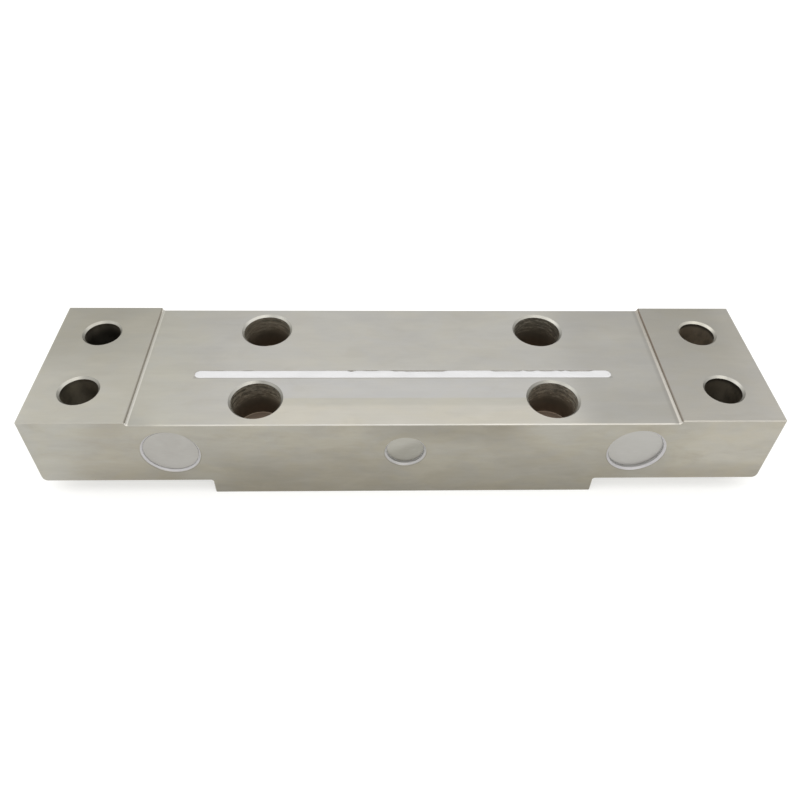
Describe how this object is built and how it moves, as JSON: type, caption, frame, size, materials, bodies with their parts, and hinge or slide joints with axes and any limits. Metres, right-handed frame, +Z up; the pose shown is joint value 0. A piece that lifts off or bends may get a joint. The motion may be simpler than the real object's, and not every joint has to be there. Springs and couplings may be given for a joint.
{
  "type": "weighbridge beam load cell",
  "caption": "Double-ended shear-beam load cell: plated steel bar with raised load pads, a bolt-down foot, covered gauge pockets and a sealed wiring slot.",
  "frame": {"origin": "middle of the foot's underside", "axes": "+X along the beam, -Y towards the face with the three covers, +Z up to the load pads"},
  "size_m": [0.3, 0.084, 0.043],
  "materials": {
    "plated_steel": "satin nickel plate over ground steel",
    "cover_steel": "satin stamped disc",
    "centre_cover_steel": "satin stamped disc, slightly darker",
    "white_sealant": "soft white silicone",
    "cover_sealant": "pale grey adhesive sealant",
    "gauge_film": "amber film with foil grids",
    "terminal_strip": "glass laminate with tinned pads",
    "lead_wire": "bare copper",
    "wire_insulation": "thin insulation",
    "circuit_board": "green laminate",
    "chip_ceramic": "coated chip resistors",
    "tinned_brass": "tinned pins",
    "nickel_brass": "nickel plated, turned",
    "gland_rubber": "black rubber"
  },
  "bodies": {
    "root": {"beam": "plated_steel", "cable_pins": "tinned_brass", "compensation_board": "circuit_board", "front_centre_cover": "centre_cover_steel", "front_centre_cover_bed": "cover_sealant", "front_left_gauge_cover": "cover_steel", "front_left_gauge_cover_bed": "cover_sealant", "front_left_gauge_leads": "lead_wire", "front_left_solder_terminal": "terminal_strip", "front_left_strain_gauge": "gauge_film", "front_right_gauge_cover": "cover_steel", "front_right_gauge_cover_bed": "cover_sealant", "front_right_gauge_leads": "lead_wire", "front_right_solder_terminal": "terminal_strip", "front_right_strain_gauge": "gauge_film", "gland_body": "nickel_brass", "gland_bush": "gland_rubber", "gland_nut": "nickel_brass", "gland_washer": "gland_rubber", "left_bridge_wires": "wire_insulation", "left_jumper_wires": "wire_insulation", "rear_left_gauge_cover": "cover_steel", "rear_left_gauge_cover_bed": "cover_sealant", "rear_left_gauge_leads": "lead_wire", "rear_left_solder_terminal": "terminal_strip", "rear_left_strain_gauge": "gauge_film", "rear_right_gauge_cover": "cover_steel", "rear_right_gauge_cover_bed": "cover_sealant", "rear_right_gauge_leads": "lead_wire", "rear_right_solder_terminal": "terminal_strip", "rear_right_strain_gauge": "gauge_film", "right_bridge_wires": "wire_insulation", "right_jumper_wires": "wire_insulation", "trim_resistors": "chip_ceramic", "wiring_slot_sealant": "white_sealant"}
  },
  "joints": []
}
